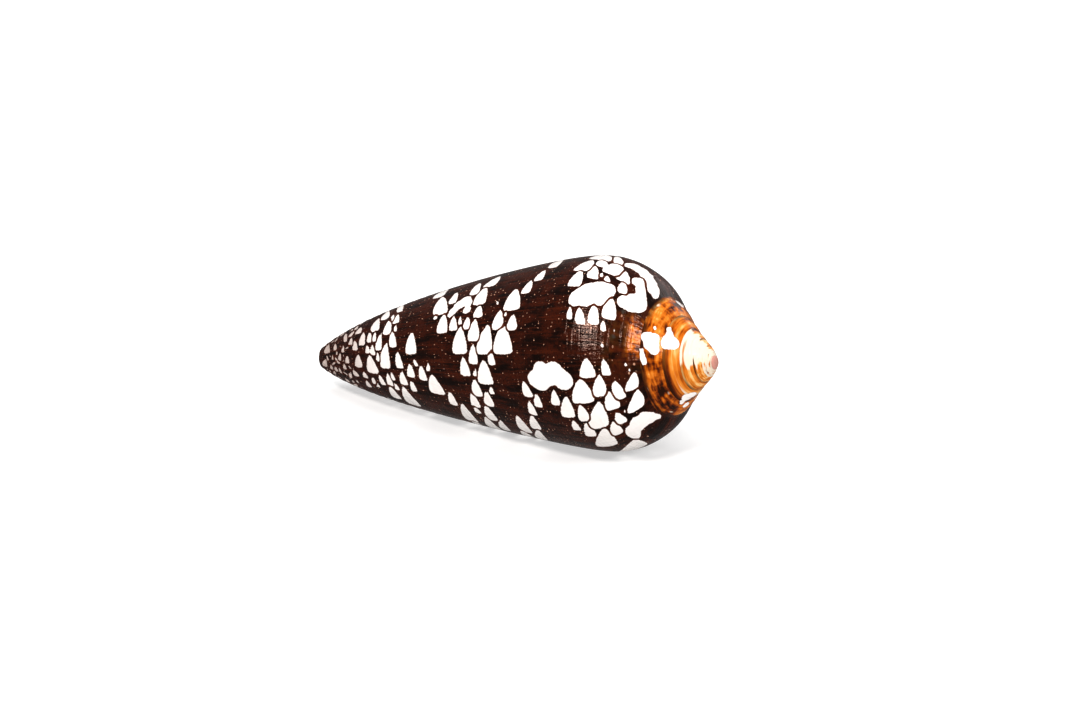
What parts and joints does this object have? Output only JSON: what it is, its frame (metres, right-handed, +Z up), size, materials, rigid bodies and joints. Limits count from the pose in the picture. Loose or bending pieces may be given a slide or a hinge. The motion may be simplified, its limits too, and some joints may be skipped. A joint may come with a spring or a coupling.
{
  "type": "cone shell",
  "caption": "Cone shell lying mouth down: low stepped spire, rounded shoulder, long tapering body and a slit mouth behind a thin lip; dark glossy brown with white tents.",
  "frame": {"origin": "under the middle of the shell's box, on the surface that it rests on", "axes": "+X along the shell towards the apex of its spire, +Z up, the lip on the +Y side underneath"},
  "size_m": [0.0592, 0.027, 0.0244],
  "materials": {
    "shell": "glossy dark brown with white tent marks, orange-brown spire and pink apex"
  },
  "bodies": {
    "root": {"shell": "shell"}
  },
  "joints": []
}
